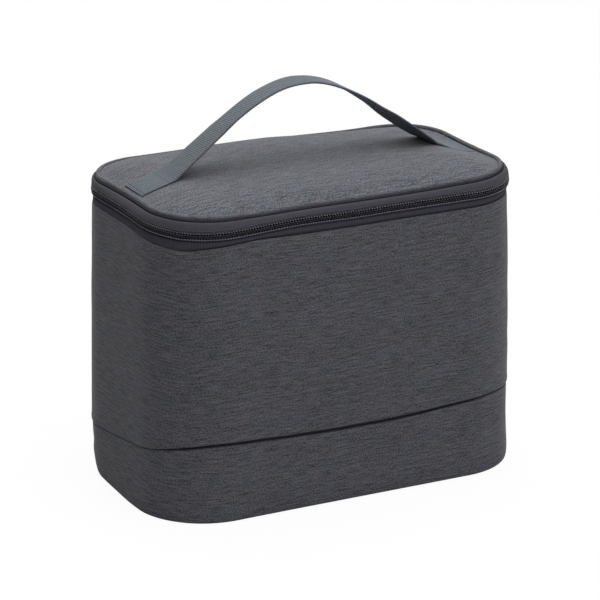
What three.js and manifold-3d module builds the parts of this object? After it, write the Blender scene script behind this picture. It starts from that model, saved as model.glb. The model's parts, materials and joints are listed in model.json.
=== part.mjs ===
// A soft cooler bag: a padded box of heather-grey fabric with a zipped, hinged lid and a webbing handle.
// Millimetres. X runs across the wide face, Y from the front (-Y) to the back (+Y), Z up.
// The origin is the middle of the underside of the bottom panel.
import * as THREE from 'three';
import Module from 'manifold-3d';
import { mergeVertices } from 'three/addons/utils/BufferGeometryUtils.js';

// Driving sizes of the bag
const bagWidth = 250;
const bagDepth = 146;
const cornerRadius = 44;
const zipHeight = 183.4;
const seamHeight = 45.5;
const clearance = 0.3;

// Thickness of each layer
const fabricThickness = 1;
const foamThickness = 5;
const lidFoamThickness = 6;
const linerThickness = 0.8;
const bindingThickness = 0.8;
const lidBindingHeight = 2.4;
const tapeThickness = 0.7;
const bandThickness = 0.9;
const boardThickness = 2;
const bottomThickness = 1.4;

// Outline of the walls
const shellInset = 0.4;
const shellTopInset = 1.7;
const shellTopDrop = 7.9;
const shellTaper = 20;
const seamStep = 0.4;
const seamTuck = 4;
const wallTopDrop = 9.5;
const baseEdgeRadius = 5;
const baseEdgeInset = 0.6;
const baseTurnUnder = 2.2;
const bandLift = 0.4;
const boardOverlap = 0.6;
const baseFoamMargin = 0.8;
const bindingDepth = 8;

// Zip: two tapes, each with half of the coil, and two sliders that meet on the right side
const zipEnd = 75;
const coilHalfWidth = 2.5;
const coilThickness = 1.3;
const coilSplit = 0.55;
const tapeInset = 0.2;
const tapeEdgeInset = 0.5;
const tapeHeight = 5.6;
const tapeTurnDrop = 4;
const tapeTail = 5;
const hingeSplit = 0.3;

// Lid
const bandStart = 4.4;
const bandStandUp = 1;
const bandShoulder = new THREE.Vector2(0.35, 0.62);
const beadRadius = 1.7;
const beadInset = 5.6;
const beadLift = 8;
const crownRise = 8.5;
const crownReach = 45;
const crownPower = 2.2;
const panelEdgeLift = 8.4;

// Handle: a webbing strap sewn flat at both ends
const strapWidth = 24;
const strapThickness = 1.6;
const strapTakeoffLeft = -93;
const strapTakeoffRight = 94;
const strapApexX = -2;
const strapRise = 49.2;
const strapFullnessLeft = 0.76;
const strapFullnessRight = 0.5;
const strapSplitLeft = -76;
const strapSplitRight = 68;
const tabRimGap = 1;

// Slider and pull
const sliderLength = 9.5;
const sliderWidth = 8;
const plateThickness = 1;
const sliderSpacing = 12;
const postThickness = 0.5;
const postLength = 2;
const bailRadius = 0.6;
const bailStandoff = 2.6;
const bailLength = 6.4;
const knuckleRadius = 1.7;
const tabLength = 22;
const tabWidth = 4.6;
const tabThickness = 1.2;

// Facet counts
const cornerSteps = 7;
const beadSides = 8;
const strapSteps = 26;
const strapEndSteps = 10;
const crownSteps = 5;
const baseTurnSteps = 5;
const smallestRadius = 3;

const wasm = await Module();
wasm.setup();

const fabricGrey = new THREE.MeshStandardMaterial({ color: 0x53555c, roughness: 0.9, metalness: 0 });
const webbingGrey = new THREE.MeshStandardMaterial({ color: 0x69727a, roughness: 0.8, metalness: 0 });
const bandGrey = new THREE.MeshStandardMaterial({ color: 0x424146, roughness: 0.7, metalness: 0 });
const tapeGrey = new THREE.MeshStandardMaterial({ color: 0x38373b, roughness: 0.75, metalness: 0 });
const coilBlack = new THREE.MeshStandardMaterial({ color: 0x1b191c, roughness: 0.4, metalness: 0 });
const foamWhite = new THREE.MeshStandardMaterial({ color: 0xe9e9e4, roughness: 0.8, metalness: 0 });
const linerSilver = new THREE.MeshStandardMaterial({ color: 0xc4c7ca, roughness: 0.35, metalness: 0.6 });
const boardGrey = new THREE.MeshStandardMaterial({ color: 0x8d8d8a, roughness: 0.7, metalness: 0 });
const sliderMetal = new THREE.MeshStandardMaterial({ color: 0x35353a, roughness: 0.35, metalness: 0.8 });

// The plan of the bag as stations round its outline, counter-clockwise. A station is a corner and a direction.
function cornerStations(signX, signY, startAngle) {
  const stations = [];
  for (let i = 0; i <= cornerSteps; i++) {
    stations.push({ signX, signY, angle: startAngle + (Math.PI / 2) * (i / cornerSteps) });
  }
  return stations;
}

const backRight = cornerStations(1, 1, 0);
const backLeft = cornerStations(-1, 1, Math.PI / 2);
const frontLeft = cornerStations(-1, -1, Math.PI);
const frontRight = cornerStations(1, -1, 1.5 * Math.PI);
const wholeLoop = [...backRight, ...backLeft, ...frontLeft, ...frontRight];

// A station on the straight part of the back wall.
function backStation(x) {
  return { x };
}

// The zip runs from the back wall round the left side, the front and the right side to the back wall again.
const zipPath = [backStation(-zipEnd), ...backLeft, ...frontLeft, ...frontRight, ...backRight, backStation(zipEnd)];
const hingePath = [backStation(zipEnd - clearance), backStation(clearance - zipEnd)];

// The plan point of a station, `inset` inside the nominal outline.
function planPoint(station, inset) {
  if (station.x !== undefined) return new THREE.Vector2(station.x, bagDepth / 2 - inset);
  const radius = Math.max(cornerRadius - inset, smallestRadius);
  const centreX = station.signX * (bagWidth / 2 - inset - radius);
  const centreY = station.signY * (bagDepth / 2 - inset - radius);
  return new THREE.Vector2(
    centreX + radius * Math.cos(station.angle),
    centreY + radius * Math.sin(station.angle),
  );
}

// A closed geometry from rows of points. Faces are turned outwards by the sign of the volume.
function closedGeometry(points, faces) {
  let volume = 0;
  for (const [a, b, c] of faces) volume += points[a].dot(points[b].clone().cross(points[c]));
  const index = faces.flatMap(([a, b, c]) => (volume < 0 ? [a, c, b] : [a, b, c]));
  const geometry = new THREE.BufferGeometry().setFromPoints(points);
  geometry.setIndex(index);
  geometry.computeVertexNormals();
  return geometry;
}

// Sweeps a closed profile of [inset, height] points along stations: a ring, or an open run with flat ends.
function sweep(profile, stations, ring = true) {
  const outline = profile.map(([inset, height]) => new THREE.Vector2(inset, height));
  if (THREE.ShapeUtils.isClockWise(outline)) outline.reverse();
  const points = stations.flatMap((station) =>
    outline.map(({ x: inset, y: height }) => {
      const plan = planPoint(station, inset);
      return new THREE.Vector3(plan.x, plan.y, height);
    }),
  );
  const count = outline.length;
  const faces = [];
  const runs = ring ? stations.length : stations.length - 1;
  for (let i = 0; i < runs; i++) {
    const here = i * count;
    const next = ((i + 1) % stations.length) * count;
    for (let j = 0; j < count; j++) {
      const k = (j + 1) % count;
      faces.push([here + j, next + j, next + k], [here + j, next + k, here + k]);
    }
  }
  if (!ring) {
    const last = (stations.length - 1) * count;
    for (const [a, b, c] of THREE.ShapeUtils.triangulateShape(outline, [])) {
      faces.push([a, b, c], [last + a, last + c, last + b]);
    }
  }
  return closedGeometry(points, faces);
}

// A panel across the whole plan. Its path of [inset, height] starts at the underside's middle and ends on top.
function panel(path) {
  const count = path.length;
  const points = wholeLoop.flatMap((station) =>
    path.map(([inset, height]) => {
      const plan = planPoint(station, inset);
      return new THREE.Vector3(plan.x, plan.y, height);
    }),
  );
  const faces = [];
  const underside = points.length;
  points.push(new THREE.Vector3(0, 0, path[0][1]), new THREE.Vector3(0, 0, path[count - 1][1]));
  for (let i = 0; i < wholeLoop.length; i++) {
    const here = i * count;
    const next = ((i + 1) % wholeLoop.length) * count;
    for (let j = 0; j < count - 1; j++) {
      faces.push([here + j, next + j, next + j + 1], [here + j, next + j + 1, here + j + 1]);
    }
    faces.push([underside, next, here], [underside + 1, here + count - 1, next + count - 1]);
  }
  return closedGeometry(points, faces);
}

// The closed profile of a sheet whose outer face follows a path; positive thickness lies towards larger insets.
function sheetProfile(path, thickness) {
  const inner = path.map(([inset, height], i) => {
    const before = path[Math.max(i - 1, 0)];
    const after = path[Math.min(i + 1, path.length - 1)];
    const along = new THREE.Vector2(after[0] - before[0], after[1] - before[1]).normalize();
    return [inset + thickness * Math.abs(along.y), height - thickness * along.x * Math.sign(along.y || 1)];
  });
  return [...path, ...inner.reverse()];
}

// A flat panel between two heights.
function flatPanel(inset, low, high) {
  return panel([[inset + crownReach, low], [inset, low], [inset, high], [inset + crownReach, high]]);
}

// Makes closed geometries into one solid with manifold-3d.
function joined(geometries) {
  const solids = geometries.map((geometry) => {
    const bare = geometry.clone();
    bare.deleteAttribute('normal');
    bare.deleteAttribute('uv');
    const merged = mergeVertices(bare, 1e-4);
    return new wasm.Manifold(new wasm.Mesh({
      numProp: 3,
      vertProperties: merged.attributes.position.array,
      triVerts: new Uint32Array(merged.index.array),
    }));
  });
  const mesh = solids.reduce((sum, solid) => sum.add(solid)).getMesh();
  const geometry = new THREE.BufferGeometry();
  geometry.setAttribute('position', new THREE.BufferAttribute(mesh.vertProperties, 3));
  geometry.setIndex(new THREE.BufferAttribute(mesh.triVerts, 1));
  geometry.computeVertexNormals();
  return geometry;
}

const bag = new THREE.Group();

function place(name, geometry, material, group = bag) {
  const mesh = new THREE.Mesh(geometry, material);
  mesh.name = name;
  group.add(mesh);
  return mesh;
}

// Walls and base: the outer fabric, the foam and the liner, from outside in
const shellTop = zipHeight - shellTopDrop;
const wallTop = zipHeight - wallTopDrop;
const shellInner = shellInset + fabricThickness;
const seamInset = shellInner + clearance;
const bandInset = shellInset + seamStep;
const bandInner = bandInset + fabricThickness;
const foamInner = bandInner + clearance * 2 + foamThickness;
const linerOuter = foamInner + clearance;
const linerInner = linerOuter + linerThickness;
const bandMiddle = (bandLift + baseEdgeRadius + seamHeight) / 2;

const shellPath = [
  [shellInset, seamHeight],
  [shellInset, (seamHeight + shellTop) / 2],
  [shellInset + (shellTopInset - shellInset) / 4, shellTop - shellTaper],
  [shellTopInset, shellTop],
];

function upperShell() {
  return sweep(sheetProfile(shellPath, fabricThickness), wholeLoop);
}

function lowerBand() {
  const centreInset = baseEdgeInset + baseEdgeRadius;
  const centreHeight = bandLift + baseEdgeRadius;
  const turn = [];
  for (let i = 0; i <= baseTurnSteps; i++) {
    const angle = (Math.PI / 2) * (i / baseTurnSteps);
    turn.push([
      centreInset - baseEdgeRadius * Math.sin(angle),
      centreHeight - baseEdgeRadius * Math.cos(angle),
    ]);
  }
  const outer = [
    [centreInset + baseTurnUnder, bandLift],
    ...turn,
    [bandInset, bandMiddle],
    [bandInset, seamHeight - seamTuck],
    [seamInset, seamHeight],
    [seamInset, seamHeight + seamTuck],
  ];
  const innerRadius = baseEdgeRadius - fabricThickness;
  const innerTurn = turn.map(([inset, height]) => [
    centreInset + (inset - centreInset) * (innerRadius / baseEdgeRadius),
    centreHeight + (height - centreHeight) * (innerRadius / baseEdgeRadius),
  ]);
  const inner = [
    [centreInset + baseTurnUnder, bandLift + fabricThickness],
    ...innerTurn,
    [bandInner, bandMiddle],
    [bandInner, seamHeight - seamTuck],
    [seamInset + fabricThickness, seamHeight],
    [seamInset + fabricThickness, seamHeight + seamTuck],
  ];
  return sweep([...outer, ...inner.reverse()], wholeLoop);
}

const bottomInset = baseEdgeInset + baseEdgeRadius + baseTurnUnder + clearance;
const boardInset = baseEdgeInset + baseEdgeRadius - boardOverlap;
const boardLow = bottomThickness + clearance;
const baseFoamLow = boardLow + boardThickness + clearance;
const baseFoamHigh = baseFoamLow + foamThickness;
const baseFoamInset = baseEdgeInset + fabricThickness + baseFoamMargin;
const floorHeight = baseFoamHigh + clearance;

function wallFoam() {
  const bandFoamInset = bandInner + clearance;
  const tuckInset = seamInset + fabricThickness + clearance;
  const tapeSideInset = tapeSeatInset + tapeThickness + clearance;
  const tuckTop = seamHeight + seamTuck + clearance;
  const tapeBottom = shellTop - tapeTail - clearance;
  const besideShell = ([inset, height]) => [inset + fabricThickness + clearance, height];
  const outer = [
    [baseEdgeInset + fabricThickness + clearance, floorHeight],
    [bandFoamInset, bandMiddle],
    [bandFoamInset, seamHeight - seamTuck],
    [tuckInset, seamHeight],
    [tuckInset, tuckTop],
    besideShell([shellInset, tuckTop]),
    besideShell(shellPath[1]),
    besideShell(shellPath[2]),
    [tapeSideInset, tapeBottom],
    [tapeSideInset, wallTop],
  ];
  return sweep([...outer, [foamInner, wallTop], [foamInner, floorHeight]], wholeLoop);
}

function wallLiner() {
  const low = floorHeight + linerThickness + clearance;
  return sweep([[linerOuter, low], [linerOuter, wallTop], [linerInner, wallTop], [linerInner, low]], wholeLoop);
}

// An angle of tape that caps the foam and the liner round the mouth.
function mouthBinding() {
  const outerInset = tapeSeatInset + tapeThickness + clearance;
  const low = wallTop + clearance;
  const high = low + bindingThickness;
  const legOuter = linerInner + clearance;
  const legInner = legOuter + bindingThickness;
  return sweep([
    [outerInset, low],
    [outerInset, high],
    [legInner, high],
    [legInner, high - bindingDepth],
    [legOuter, high - bindingDepth],
    [legOuter, low],
  ], wholeLoop);
}

// Zip tapes lie just inside the outline; the body's tape turns in behind the shell's top edge
const tapeSeatInset = shellTopInset + fabricThickness + clearance;

function bodyTapePath(split) {
  return [
    [tapeEdgeInset, zipHeight - split],
    [tapeInset, zipHeight - split - tapeTurnDrop * 0.4],
    [tapeInset, zipHeight - tapeTurnDrop],
    [(tapeInset + tapeSeatInset) / 2, shellTop + fabricThickness + clearance],
    [tapeSeatInset, shellTop],
    [tapeSeatInset, shellTop - tapeTail],
  ];
}

function lidTapePath(split) {
  return [
    [tapeEdgeInset, zipHeight + split],
    [tapeInset, zipHeight + split + tapeTurnDrop * 0.4],
    [tapeInset, zipHeight + tapeTurnDrop],
    [tapeInset * 2, zipHeight + tapeHeight],
  ];
}

function coilHalf(side) {
  const inner = tapeInset - clearance;
  const outer = inner - coilThickness;
  const near = zipHeight + side * coilSplit;
  const far = zipHeight + side * (coilSplit + coilHalfWidth);
  const bevel = coilThickness / 3;
  return sweep([
    [inner, near],
    [outer + bevel, near],
    [outer, near + side * bevel],
    [outer, far - side * bevel],
    [outer + bevel, far],
    [inner, far],
  ], zipPath, false);
}

place('upper_shell', upperShell(), fabricGrey);
place('lower_band', lowerBand(), fabricGrey);
place('bottom_panel', flatPanel(bottomInset, 0, bottomThickness), fabricGrey);
place('base_board', flatPanel(boardInset, boardLow, boardLow + boardThickness), boardGrey);
place('base_foam', flatPanel(baseFoamInset, baseFoamLow, baseFoamHigh), foamWhite);
place('base_liner', flatPanel(linerOuter, floorHeight, floorHeight + linerThickness), linerSilver);
place('wall_foam', wallFoam(), foamWhite);
place('wall_liner', wallLiner(), linerSilver);
place('mouth_binding', mouthBinding(), bandGrey);
place('zip_tape_body', sweep(sheetProfile(bodyTapePath(coilSplit), tapeThickness), zipPath, false), tapeGrey);
place('zip_coil_body', coilHalf(-1), coilBlack);
place('hinge_fabric_body', sweep(sheetProfile(bodyTapePath(hingeSplit), tapeThickness), hingePath, false), bandGrey);

// Lid: tape, coil, band, bead, crowned top panel, foam and liner.
// It turns about a line 1.6 mm behind the back wall, at the zip's height.
const panelInset = beadInset + beadRadius + clearance;

// Height of the top panel's upper face at an inset: it rises fast from its edge and is nearly flat in the middle.
function crownHeight(inset) {
  const along = Math.min(Math.max((inset - panelInset) / crownReach, 0), 1);
  return zipHeight + panelEdgeLift + crownRise * (1 - (1 - along) ** crownPower);
}

function crownedLayer(edgeInset, drop, thickness) {
  const top = [];
  for (let i = 0; i <= crownSteps; i++) {
    const inset = edgeInset + (i / crownSteps) ** 2 * (panelInset + crownReach - edgeInset);
    top.push([inset, crownHeight(inset) - drop]);
  }
  const under = top.map(([inset, height]) => [inset, height - thickness]).reverse();
  return panel([...under, ...top]);
}

function lidBand() {
  const rise = zipHeight + bandStart;
  const start = tapeInset * 2 + tapeThickness + clearance;
  const end = beadInset - beadRadius - clearance;
  const top = zipHeight + beadLift - beadRadius / 2;
  const path = [
    [start, rise],
    [start, rise + bandStandUp],
    [start + (end - start) * bandShoulder.x, rise + (top - rise) * bandShoulder.y],
    [end, top],
  ];
  return sweep(sheetProfile(path, bandThickness), wholeLoop);
}

function lidBead() {
  const profile = [];
  for (let i = 0; i < beadSides; i++) {
    const angle = (2 * Math.PI * i) / beadSides;
    profile.push([
      beadInset + beadRadius * Math.cos(angle),
      zipHeight + beadLift + beadRadius * Math.sin(angle),
    ]);
  }
  return sweep(profile, wholeLoop);
}

function lidBinding() {
  const high = zipHeight + beadLift - beadRadius - clearance;
  const low = high - lidBindingHeight;
  const outerInset = beadInset - beadRadius / 2;
  const innerInset = panelInset;
  return sweep([[outerInset, low], [outerInset, high], [innerInset, high], [innerInset, low]], wholeLoop);
}

const lidGroup = new THREE.Group();
bag.add(lidGroup);
const lidFoamDrop = fabricThickness + clearance;
const lidLinerDrop = lidFoamDrop + lidFoamThickness + clearance;
const foamEdge = panelInset + clearance;
place('zip_tape_lid', sweep(sheetProfile(lidTapePath(coilSplit), tapeThickness), zipPath, false), tapeGrey, lidGroup);
place('zip_coil_lid', coilHalf(1), coilBlack, lidGroup);
place('hinge_fabric_lid', sweep(sheetProfile(lidTapePath(hingeSplit), tapeThickness), hingePath, false), bandGrey, lidGroup);
place('lid_band', lidBand(), bandGrey, lidGroup);
place('lid_edge_bead', lidBead(), fabricGrey, lidGroup);
place('lid_binding', lidBinding(), bandGrey, lidGroup);
place('lid_top_panel', crownedLayer(panelInset, 0, fabricThickness), fabricGrey, lidGroup);
place('lid_foam', crownedLayer(foamEdge, lidFoamDrop, lidFoamThickness), foamWhite, lidGroup);
place('lid_liner', crownedLayer(foamEdge, lidLinerDrop, linerThickness), linerSilver, lidGroup);

// Handle. The strap's middle line: flat on the crown at both ends, an arch between the two takeoffs.
function crownAt(x) {
  return crownHeight(bagWidth / 2 - Math.abs(x));
}

function strapLine(x) {
  const left = x < strapApexX;
  const takeoff = left ? strapTakeoffLeft : strapTakeoffRight;
  const along = Math.min((x - strapApexX) / (takeoff - strapApexX), 1);
  const fullness = left ? strapFullnessLeft : strapFullnessRight;
  const full = Math.cos((Math.PI / 2) * along);
  const slack = 0.5 + 0.5 * Math.cos(Math.PI * along);
  const seat = crownAt(x) + clearance + strapThickness / 2;
  const foot = crownAt(takeoff) + clearance + strapThickness / 2;
  const apex = foot + strapRise;
  const arch = foot + (apex - foot) * (fullness * full + (1 - fullness) * slack);
  return along < 1 ? Math.max(arch, seat) : seat;
}

// A length of strap between two places along X, cut square, with its own thickness all along.
function strapPiece(from, to, steps) {
  const middle = [];
  for (let i = 0; i <= steps; i++) {
    const x = from + ((to - from) * i) / steps;
    middle.push(new THREE.Vector2(x, strapLine(x)));
  }
  const upper = [];
  const lower = [];
  middle.forEach((point, i) => {
    const before = middle[Math.max(i - 1, 0)];
    const after = middle[Math.min(i + 1, steps)];
    const slope = (after.y - before.y) / (after.x - before.x);
    const half = (strapThickness / 2) * Math.sqrt(1 + slope * slope);
    upper.push(new THREE.Vector2(point.x, point.y + half));
    lower.push(new THREE.Vector2(point.x, Math.max(point.y - half, crownAt(point.x) + clearance)));
  });
  const shape = new THREE.Shape([...lower, ...upper.reverse()]);
  const geometry = new THREE.ExtrudeGeometry(shape, { depth: strapWidth, bevelEnabled: false });
  geometry.rotateX(Math.PI / 2);
  geometry.translate(0, strapWidth / 2, 0);
  return geometry;
}

const tabEndX = bagWidth / 2 - panelInset - tabRimGap;
const archLeft = strapSplitLeft + clearance;
const archRight = strapSplitRight - clearance;
place('handle_end_left', strapPiece(-tabEndX, strapSplitLeft, strapEndSteps), webbingGrey, lidGroup);
place('handle_end_right', strapPiece(strapSplitRight, tabEndX, strapEndSteps), webbingGrey, lidGroup);
place('handle_strap', strapPiece(archLeft, archRight, strapSteps), webbingGrey, lidGroup);

// Sliders. Each is built about its own middle: X outwards from the bag, Y along the zip, Z up.
const plateInner = bagWidth / 2 - tapeEdgeInset - tapeThickness - clearance;
const plateOuter = bagWidth / 2 - tapeInset + clearance + coilThickness + clearance;

function box(sizeX, sizeY, sizeZ, x, y, z) {
  return new THREE.BoxGeometry(sizeX, sizeY, sizeZ).translate(x, y, z);
}

// A slider plate with its corners taken off, standing in the YZ plane.
function plate(x) {
  const corner = sliderWidth / 4;
  const halfLength = sliderLength / 2;
  const halfWidth = sliderWidth / 2;
  const shape = new THREE.Shape([
    new THREE.Vector2(-halfLength + corner, -halfWidth),
    new THREE.Vector2(halfLength - corner, -halfWidth),
    new THREE.Vector2(halfLength, -halfWidth + corner),
    new THREE.Vector2(halfLength, halfWidth - corner),
    new THREE.Vector2(halfLength - corner, halfWidth),
    new THREE.Vector2(-halfLength + corner, halfWidth),
    new THREE.Vector2(-halfLength, halfWidth - corner),
    new THREE.Vector2(-halfLength, -halfWidth + corner),
  ]);
  const geometry = new THREE.ExtrudeGeometry(shape, { depth: plateThickness, bevelEnabled: false });
  geometry.rotateX(Math.PI / 2);
  geometry.rotateZ(Math.PI / 2);
  return geometry.translate(x, 0, 0);
}

// `nose` is the direction along Y in which this slider opens the zip; the post stands there.
function sliderBody(nose) {
  const postX = (plateInner + plateOuter) / 2;
  const postSpan = plateOuter - plateInner + plateThickness;
  const postY = nose * (sliderLength / 2 - postLength / 2);
  return joined([
    plate(plateInner - plateThickness),
    plate(plateOuter),
    box(postSpan, postLength, postThickness, postX, postY, 0),
  ]);
}

const bailX = plateOuter + plateThickness + bailStandoff;

function sliderBail() {
  const foot = plateOuter + plateThickness + clearance;
  const legWidth = 2 * bailRadius;
  const legY = bailLength / 2;
  const bar = new THREE.CylinderGeometry(bailRadius, bailRadius, bailLength + legWidth, 10);
  bar.translate(bailX, 0, 0);
  const leg = (side) => box(bailX - foot, legWidth, legWidth, (bailX + foot) / 2, side * legY, 0);
  return joined([bar, leg(1), leg(-1)]);
}

// A pull: a knuckle round the bail's bar with a flat tab hanging from it.
function pullTab() {
  const halfThickness = tabThickness / 2;
  const neck = Math.asin(halfThickness / knuckleRadius);
  const shape = new THREE.Shape();
  shape.absarc(0, 0, knuckleRadius, neck - Math.PI / 2, 1.5 * Math.PI - neck, false);
  shape.lineTo(-halfThickness, -tabLength);
  shape.lineTo(halfThickness, -tabLength);
  shape.closePath();
  const bore = new THREE.Path();
  bore.absarc(0, 0, bailRadius + clearance, 0, 2 * Math.PI, true);
  shape.holes.push(bore);
  const geometry = new THREE.ExtrudeGeometry(shape, { depth: tabWidth, bevelEnabled: false, curveSegments: 14 });
  geometry.rotateX(Math.PI / 2);
  return geometry.translate(bailX, tabWidth / 2, 0);
}

for (const [name, nose] of [['front', -1], ['rear', 1]]) {
  const slider = new THREE.Group();
  slider.position.set(0, (nose * sliderSpacing) / 2, zipHeight);
  bag.add(slider);
  place(`${name}_slider_body`, sliderBody(nose), sliderMetal, slider);
  place(`${name}_slider_bail`, sliderBail(), sliderMetal, slider);
  place(`${name}_pull_tab`, pullTab(), sliderMetal, slider);
}

export default bag;
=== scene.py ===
# A soft cooler bag: heather fabric walls, a zipped lid with a beaded edge, and a webbing handle.
# Everything is in metres in the frame's own axes: X across the wide face, -Y the front, Z up.
import json
import math
from functools import cache
from itertools import accumulate

import bmesh
import bpy
from mathutils import Matrix, Vector, noise


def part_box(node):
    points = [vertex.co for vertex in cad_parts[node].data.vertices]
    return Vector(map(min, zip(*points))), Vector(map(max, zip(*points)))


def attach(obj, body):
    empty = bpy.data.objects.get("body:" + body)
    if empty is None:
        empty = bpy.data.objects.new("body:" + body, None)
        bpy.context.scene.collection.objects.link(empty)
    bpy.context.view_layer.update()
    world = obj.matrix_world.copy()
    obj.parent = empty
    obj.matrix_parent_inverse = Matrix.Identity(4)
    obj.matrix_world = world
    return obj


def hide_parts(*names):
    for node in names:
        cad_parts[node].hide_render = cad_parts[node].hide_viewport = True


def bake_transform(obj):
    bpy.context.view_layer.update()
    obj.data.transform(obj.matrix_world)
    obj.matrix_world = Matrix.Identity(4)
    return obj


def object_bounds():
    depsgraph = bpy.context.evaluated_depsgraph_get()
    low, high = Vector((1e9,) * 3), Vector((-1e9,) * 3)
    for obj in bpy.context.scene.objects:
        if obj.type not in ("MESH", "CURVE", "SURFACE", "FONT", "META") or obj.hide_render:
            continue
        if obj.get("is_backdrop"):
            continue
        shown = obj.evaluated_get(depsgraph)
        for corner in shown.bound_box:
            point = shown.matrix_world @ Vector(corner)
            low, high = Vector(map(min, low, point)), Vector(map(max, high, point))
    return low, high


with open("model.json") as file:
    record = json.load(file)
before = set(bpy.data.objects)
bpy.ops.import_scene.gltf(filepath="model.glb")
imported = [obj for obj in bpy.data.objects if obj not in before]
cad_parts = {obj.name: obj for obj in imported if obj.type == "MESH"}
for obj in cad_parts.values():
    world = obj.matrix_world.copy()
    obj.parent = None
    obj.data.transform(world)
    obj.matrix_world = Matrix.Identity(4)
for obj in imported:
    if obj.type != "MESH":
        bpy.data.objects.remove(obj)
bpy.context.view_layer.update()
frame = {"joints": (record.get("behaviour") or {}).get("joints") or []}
MM = 0.001

# Sizes read from the frame
shell_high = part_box("upper_shell")[1]
lid_coil_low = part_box("zip_coil_lid")[0].z
body_coil_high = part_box("zip_coil_body")[1].z
strap_low, strap_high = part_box("handle_strap")
slider_low, slider_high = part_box("front_slider_body")
joint_places = {joint["name"]: Vector(joint.get("pos_m") or (0, 0, 0)) for joint in frame["joints"]}

zip_z = (lid_coil_low + body_coil_high) / 2
shell_inset = 0.4 * MM
half_width = shell_high.x + shell_inset
half_depth = shell_high.y + shell_inset
corner_radius = 44 * MM
shell_top_z = shell_high.z

# The camera stands where the photograph's did
camera_azimuth = math.radians(27.69)
camera_elevation = math.radians(18.72)
camera_distance = 2.666
camera_target = Vector((0, 0, 0.110))
camera_lens = 257.2
camera_shift = (-0.0016, -0.0079)

# Each softbox: where it stands, where it points, its width and its power in watts
softboxes = {
    "top_softbox": ((0.1, -0.1, 1.5), (0, 0, 0.15), 1.8, 28.5),
    "front_softbox": ((0.28, -1.8, 0.95), (0, 0, 0.1), 1.2, 9.2),
    "rear_softbox": ((0.2, 1.8, 1.3), (0, 0, 0.15), 1.4, 15.5),
}


def make_camera():
    data = bpy.data.cameras.new("camera")
    data.lens = camera_lens
    data.sensor_width = 36
    data.shift_x, data.shift_y = camera_shift
    data.clip_end = 50
    camera = bpy.data.objects.new("camera", data)
    level = math.cos(camera_elevation)
    away = Vector((
        -math.sin(camera_azimuth) * level,
        -math.cos(camera_azimuth) * level,
        math.sin(camera_elevation),
    ))
    camera.location = camera_target + away * camera_distance
    camera.rotation_euler = away.to_track_quat("Z", "Y").to_euler()
    bpy.context.scene.collection.objects.link(camera)
    bpy.context.scene.camera = camera


def make_lights():
    for name, (place, target, size, power) in softboxes.items():
        data = bpy.data.lights.new(name, "AREA")
        data.size = size
        data.energy = power
        lamp = bpy.data.objects.new(name, data)
        lamp.location = place
        lamp.rotation_euler = (Vector(place) - Vector(target)).to_track_quat("Z", "Y").to_euler()
        bpy.context.scene.collection.objects.link(lamp)


def make_world():
    """White where the camera sees it, dimmer in reflections, and a faint fill on the bag."""
    world = bpy.data.worlds.new("studio")
    bpy.context.scene.world = world
    world.use_nodes = True
    tree = world.node_tree
    rays = tree.nodes.new("ShaderNodeLightPath").outputs
    seen = math_node(tree, "MAXIMUM", rays["Is Camera Ray"], rays["Is Transmission Ray"])
    seen = math_node(tree, "MULTIPLY_ADD", rays["Is Glossy Ray"], 0.35, seen)
    strength = tree.nodes.new("ShaderNodeMapRange")
    strength.inputs["To Min"].default_value = 0.12
    strength.inputs["To Max"].default_value = 1
    tree.links.new(seen, strength.inputs["Value"])
    background = tree.nodes["Background"]
    background.inputs["Color"].default_value = (1, 1, 1, 1)
    tree.links.new(strength.outputs[0], background.inputs["Strength"])


def make_floor():
    """A pale floor that keeps the bag's soft shadow and is nearly white to the camera."""
    mesh = bmesh.new()
    bmesh.ops.create_grid(mesh, x_segments=1, y_segments=1, size=6)
    material, nodes, links, shader = new_material("pale_floor", roughness=0.9)
    shader.inputs["Base Color"].default_value = (0.6, 0.6, 0.6, 1)
    rays = nodes.new("ShaderNodeLightPath").outputs
    seen = math_node(material.node_tree, "MULTIPLY", rays["Is Camera Ray"], 0.9)
    white = nodes.new("ShaderNodeEmission")
    white.inputs["Strength"].default_value = 1.04
    mix = nodes.new("ShaderNodeMixShader")
    links.new(seen, mix.inputs["Fac"])
    links.new(shader.outputs[0], mix.inputs[1])
    links.new(white.outputs[0], mix.inputs[2])
    links.new(mix.outputs[0], nodes["Material Output"].inputs["Surface"])
    finish_mesh("floor", mesh, material)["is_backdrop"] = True


# The bag's outline, seen from above

straight_x = half_width - corner_radius
straight_y = half_depth - corner_radius
quarter = corner_radius * math.pi / 2
run_lengths = [
    straight_x, quarter, 2 * straight_y, quarter, 2 * straight_x,
    quarter, 2 * straight_y, quarter, straight_x,
]
outline_length = sum(run_lengths)
run_starts = [sum(run_lengths[:i]) for i in range(len(run_lengths))]

# Places along the outline, from the middle of the back round the left side and the front
back_left_corner = run_starts[1] + quarter / 2
left_middle = run_starts[2] + straight_y
front_left_corner = run_starts[3] + quarter / 2
front_middle = run_starts[4] + straight_x
front_right_corner = run_starts[5] + quarter / 2
right_middle = run_starts[6] + straight_y
back_right_corner = run_starts[7] + quarter / 2


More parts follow.
